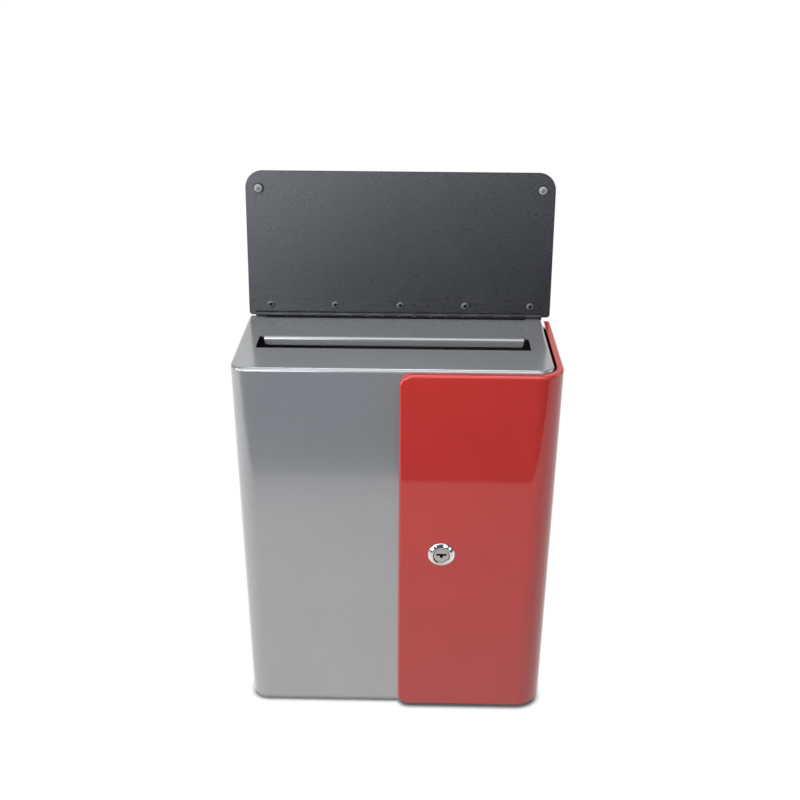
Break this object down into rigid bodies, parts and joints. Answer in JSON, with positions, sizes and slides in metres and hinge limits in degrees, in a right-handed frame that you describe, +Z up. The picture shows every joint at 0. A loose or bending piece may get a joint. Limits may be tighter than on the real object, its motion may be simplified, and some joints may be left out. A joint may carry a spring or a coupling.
{
  "type": "donation box",
  "caption": "Folded sheet-steel donation box with a long slot under a hinged flat lid, and a locking door that wraps round one front corner.",
  "frame": {"origin": "centre of the body's footprint, on the floor it stands on", "axes": "+Z up, -Y towards the front with the door, +X towards the door's side"},
  "size_m": [0.2694, 0.1503, 0.4656],
  "materials": {
    "silver_paint": "glossy silver-grey paint",
    "grey_paint": "satin dark grey paint",
    "red_paint": "glossy red paint",
    "hinge_steel": "zinc-plated steel",
    "lock_chrome": "polished chrome",
    "clear_bumper": "clear soft plastic"
  },
  "bodies": {
    "cabinet": {"body_wrap": "silver_paint", "top_panel": "silver_paint", "bottom_panel": "silver_paint", "back_panel": "silver_paint", "lid_hinge_body_leaf": "grey_paint", "lid_hinge_pin": "hinge_steel", "body_leaf_rivets": "grey_paint", "upper_hinge_body_leaf": "hinge_steel", "upper_hinge_pin": "hinge_steel", "lower_hinge_body_leaf": "hinge_steel", "lower_hinge_pin": "hinge_steel"},
    "lid": {"lid_plate": "grey_paint", "lid_hinge_lid_leaf": "grey_paint", "lid_rivets": "grey_paint", "lid_bumper_left": "clear_bumper", "lid_bumper_right": "clear_bumper"},
    "door": {"door_panel": "red_paint", "upper_hinge_door_leaf": "hinge_steel", "lower_hinge_door_leaf": "hinge_steel", "lock_housing": "lock_chrome", "lock_nut": "hinge_steel"},
    "lock_barrel": {"lock_plug": "lock_chrome", "lock_cam": "hinge_steel", "cam_washer": "hinge_steel", "cam_screw": "hinge_steel"}
  },
  "joints": [
    {"name": "lid_swing", "type": "hinge", "parent": "cabinet", "child": "lid", "pos_m": [0.003, 0.0572, 0.3425], "axis": [1, 0, 0], "range_deg": [0, 99.5]},
    {"name": "door_swing", "type": "hinge", "parent": "cabinet", "child": "door", "pos_m": [0.13395, 0.0563, 0.17], "axis": [0, 0, 1], "range_deg": [0, 110]},
    {"name": "lock_turn", "type": "hinge", "parent": "door", "child": "lock_barrel", "pos_m": [0.043, -0.06, 0.17], "axis": [0, 1, 0], "range_deg": [0, 90]}
  ]
}
